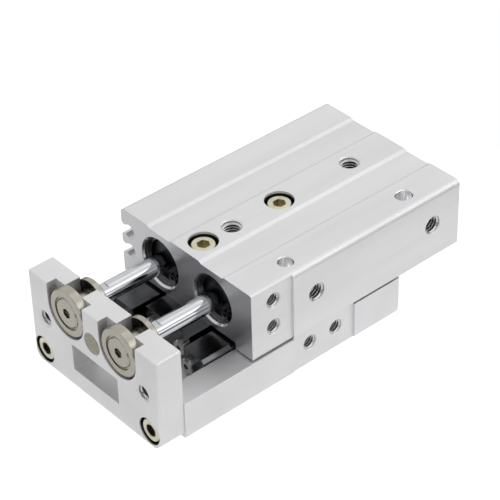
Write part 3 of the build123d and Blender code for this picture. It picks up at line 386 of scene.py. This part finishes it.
def tapped_thread(name, body, mouth, way, major_r, pitch, depth, lead_in):
    """Ridges of a tapped hole: one profile spun round the hole and down it. mouth is the
    centre of the hole's mouth and way points out of it. The sizes are in mm."""
    root = major_r + WALL_OVERLAP
    crest = major_r - RIDGE_HEIGHT * pitch
    start = -lead_in - pitch * FIRST_RIDGE
    # Corners of the ridge's section: radius, and pitches along the hole from its middle.
    profile = ((root, -0.46), (crest, -0.1), (crest, 0.02), (root, 0.38))
    turns = (depth - lead_in) / pitch - 1
    steps = round(turns * STEPS_PER_TURN)
    mesh = bmesh.new()
    ring = [mesh.verts.new((r * MM, 0, (start + pitch * along) * MM)) for r, along in profile]
    bmesh.ops.spin(
        mesh, geom=[mesh.faces.new(ring)], cent=(0, 0, 0), axis=(0, 0, 1),
        dvec=(0, 0, -pitch * MM * turns / steps), angle=turns * 2 * math.pi, steps=steps,
    )
    bmesh.ops.recalc_face_normals(mesh, faces=mesh.faces)
    turn = Vector((0, 0, 1)).rotation_difference(Vector(way)).to_matrix().to_4x4()
    bmesh.ops.transform(mesh, matrix=Matrix.Translation(mouth) @ turn, verts=mesh.verts)
    piece = add_piece(name, mesh, cut_thread)
    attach(piece, body)


# Tapped holes: name, body, way out, centres of the mouths, thread, and the depth and
# lead-in in mm.
TAPPED_HOLES = (
    ("body_top_thread", "cylinder", (0, 0, 1),
     [(FRONT + x * MM, 0, body_high.z) for x in (-15.2, -55.2)], M5, 8.3, 0.3),
    ("air_port_thread", "cylinder", (0, 1, 0),
     [(FRONT + x * MM, body_high.y, 21.4 * MM) for x in (-20.7, -60.7)], M5, 5.3, 0.1),
    ("body_side_thread", "cylinder", (0, 1, 0),
     [(FRONT - 7.1 * MM, body_high.y - FLAT_DEPTH, z * MM) for z in (17.9, 25.9)],
     M4, 5.3, 0.2),
    ("table_side_thread", "slide_table", (0, 1, 0),
     [(FRONT + x * MM, table_high.y - FLAT_DEPTH, 6.2 * MM) for x in (-18.9, -27.6)],
     M4, 4.8, 0.2),
    ("end_plate_thread", "slide_table", (1, 0, 0),
     [(plate_high.x, y * MM, 14.8 * MM) for y in (-19.0, 19.0)], M4, 7.2, 0.3),
    ("table_foot_thread", "slide_table", (0, 0, -1),
     [(FRONT + x * MM, y * MM, 0) for x in (-5.0, -40.0) for y in (-21.0, 21.0)],
     M4, 6.2, 0.2),
)
for name, body, way, mouths, size, depth, lead_in in TAPPED_HOLES:
    for number, mouth in enumerate(mouths, start=1):
        tapped_thread(f"{name}_{number}", body, mouth, way, *size, depth, lead_in)


# ------------------------------------------------------------ studio
FLOOR_HALF = 0.1
FLOOR_DROP = 0.0002              # below the part, so that no two faces lie in one plane
FLOOR_GLOW_SEEN = 0.64           # brings the lit paper to white for the camera
FLOOR_GLOW_MIRRORED = 0.44
MEAN_LIGHT = 0.6                 # of the studio, on all that doesn't mirror it
LAMP_AIM = (0, 0, 0.015)

# Brightness of the studio round the rods, by the angle in degrees from the port side
# upwards: a dark skirting, two soft boxes with a dark gap between them, a grey ceiling
# and a pale wall.
STUDIO = ((0, 0.25), (3, 0.3), (6, 1.5), (22, 1.5), (26, 0.25), (36, 0.25), (40, 1.3),
          (58, 1.3), (65, 0.5), (78, 0.7), (95, 0.9), (116, 0.95), (160, 0.95), (180, 0.85))


def ray_kinds(tree):
    """Outputs that are 1 for the camera's rays, and for mirrored or transmitted ones."""
    rays = add_node(tree, "ShaderNodeLightPath").outputs
    mirrored = add_node(tree, "ShaderNodeMath", {
        0: rays["Is Glossy Ray"], 1: rays["Is Transmission Ray"],
    }, operation="ADD")
    return rays["Is Camera Ray"], mirrored.outputs[0]


def stage_floor():
    """Sheet of pale paper that shows white and keeps the shadow. Past its edge the studio
    is as white to the camera."""
    material = bpy.data.materials.new("white_studio_paper")
    material.use_nodes = True
    tree = material.node_tree
    paper = tree.nodes["Principled BSDF"]
    paper.inputs["Base Color"].default_value = hex_colour("e4e4e4")
    paper.inputs["Roughness"].default_value = 0.9
    seen, mirrored = ray_kinds(tree)
    seen = add_node(tree, "ShaderNodeMath", {0: seen, 1: FLOOR_GLOW_SEEN}, operation="MULTIPLY")
    mirrored = add_node(tree, "ShaderNodeMath", {0: mirrored, 1: FLOOR_GLOW_MIRRORED},
                        operation="MULTIPLY")
    strength = add_node(tree, "ShaderNodeMath", {0: seen.outputs[0], 1: mirrored.outputs[0]},
                        operation="ADD")
    glow = add_node(tree, "ShaderNodeEmission", {"Strength": strength.outputs[0]})
    both = add_node(tree, "ShaderNodeAddShader", {0: paper.outputs[0], 1: glow.outputs[0]})
    tree.links.new(both.outputs[0], tree.nodes["Material Output"].inputs["Surface"])

    mesh = bmesh.new()
    bmesh.ops.create_grid(mesh, x_segments=1, y_segments=1, size=FLOOR_HALF)
    bmesh.ops.translate(mesh, verts=mesh.verts, vec=(0, 0, -FLOOR_DROP))
    floor = add_piece("floor", mesh, material)


def studio_world():
    """White to the camera. Metal mirrors the studio, and all else takes its mean light."""
    world = bpy.data.worlds.new("studio")
    world.use_nodes = True
    bpy.context.scene.world = world
    tree = world.node_tree
    place = add_node(tree, "ShaderNodeTexCoord").outputs["Generated"]
    sides = add_node(tree, "ShaderNodeSeparateXYZ", {0: place}).outputs
    angle = add_node(tree, "ShaderNodeMath", {0: sides["Z"], 1: sides["Y"]}, operation="ARCTAN2")
    share = add_node(tree, "ShaderNodeMath", {0: angle.outputs[0], 1: math.pi},
                     operation="DIVIDE")
    wall = add_node(tree, "ShaderNodeValToRGB", {0: share.outputs[0]})
    stops = wall.color_ramp.elements
    stops.remove(stops[0])
    stops[0].position = 0
    for degrees, _ in STUDIO[1:]:
        stops.new(degrees / 180)
    for stop, (_, level) in zip(stops, STUDIO):
        stop.color = (level, level, level, 1)
    seen, mirrored = ray_kinds(tree)
    unseen = add_node(tree, "ShaderNodeMix", {
        0: mirrored, 2: MEAN_LIGHT, 3: wall.outputs["Color"],
    })
    strength = add_node(tree, "ShaderNodeMix", {0: seen, 2: unseen.outputs[0], 3: 1.0})
    tree.links.new(strength.outputs[0], tree.nodes["Background"].inputs["Strength"])
    tree.nodes["Background"].inputs["Color"].default_value = (1, 1, 1, 1)


def soft_lamp(name, place, size, watts):
    """Rectangular lamp that faces the middle of the part."""
    light = bpy.data.lights.new(name, "AREA")
    light.shape = "RECTANGLE"
    light.size, light.size_y = size
    light.energy = watts
    lamp = bpy.data.objects.new(name, light)
    lamp.location = place
    lamp.rotation_euler = (Vector(place) - Vector(LAMP_AIM)).to_track_quat("Z", "Y").to_euler()
    bpy.context.scene.collection.objects.link(lamp)


def camera():
    """The photograph's viewpoint, found from its edges and holes: 0.52 m away, long lens."""
    data = bpy.data.cameras.new("camera")
    data.sensor_width = 36.0
    data.lens = 145.72
    data.shift_x = 0.0160
    data.shift_y = -0.0512
    view = bpy.data.objects.new("camera", data)
    view.location = (0.2615, 0.30801, 0.32796)
    view.rotation_euler = (0.933037, 0.025013, 2.422364)
    bpy.context.scene.collection.objects.link(view)
    bpy.context.scene.camera = view


stage_floor()
studio_world()
soft_lamp("overhead", (-0.32, 0.1, 0.55), size=(0.6, 0.6), watts=0.5)
soft_lamp("port_side", (-0.35, 0.42, 0.42), size=(0.45, 0.2), watts=0.28)
camera()
bpy.context.scene.view_settings.view_transform = "Standard"
